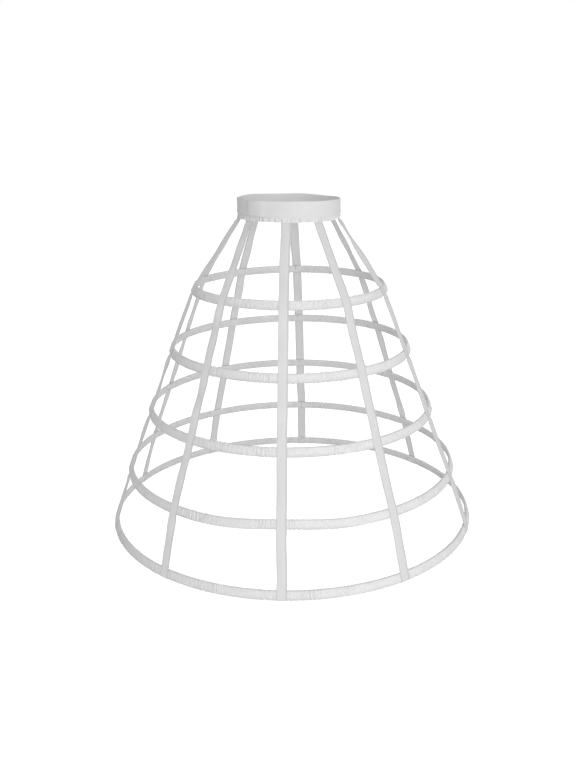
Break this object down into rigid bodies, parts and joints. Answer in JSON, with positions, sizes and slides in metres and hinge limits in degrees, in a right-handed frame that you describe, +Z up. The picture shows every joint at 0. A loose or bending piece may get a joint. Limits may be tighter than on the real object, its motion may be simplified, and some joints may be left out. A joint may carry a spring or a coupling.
{
  "type": "crinoline cage",
  "caption": "Bell-shaped crinoline cage: boned hoops in ribbon casings hang on ribbon tapes from an elastic waistband, to hold a skirt out.",
  "frame": {"origin": "on the cage's axis, at the floor under the bottom hoop", "axes": "+Z up along the axis to the waist, -Y toward the front tape, +X to the right seen from the front"},
  "size_m": [0.7541, 0.7564, 0.6605],
  "materials": {
    "ribbon": "matte",
    "elastic": "matte",
    "bone": "satin",
    "joiner": "satin"
  },
  "bodies": {
    "root": {"waist_elastic": "elastic", "waist_gather": "ribbon", "tape_front": "ribbon", "tape_front_right": "ribbon", "tape_right": "ribbon", "tape_back_right": "ribbon", "tape_back": "ribbon", "tape_back_left": "ribbon", "tape_rear_left": "ribbon", "tape_left": "ribbon", "tape_front_left": "ribbon", "hoop_1_casing": "ribbon", "hoop_1_bone": "bone", "hoop_1_joiner": "joiner", "hoop_2_casing": "ribbon", "hoop_2_bone": "bone", "hoop_2_joiner": "joiner", "hoop_3_casing": "ribbon", "hoop_3_bone": "bone", "hoop_3_joiner": "joiner", "hoop_4_casing": "ribbon", "hoop_4_bone": "bone", "hoop_4_joiner": "joiner", "hoop_5_casing": "ribbon", "hoop_5_bone": "bone", "hoop_5_joiner": "joiner"}
  },
  "joints": []
}
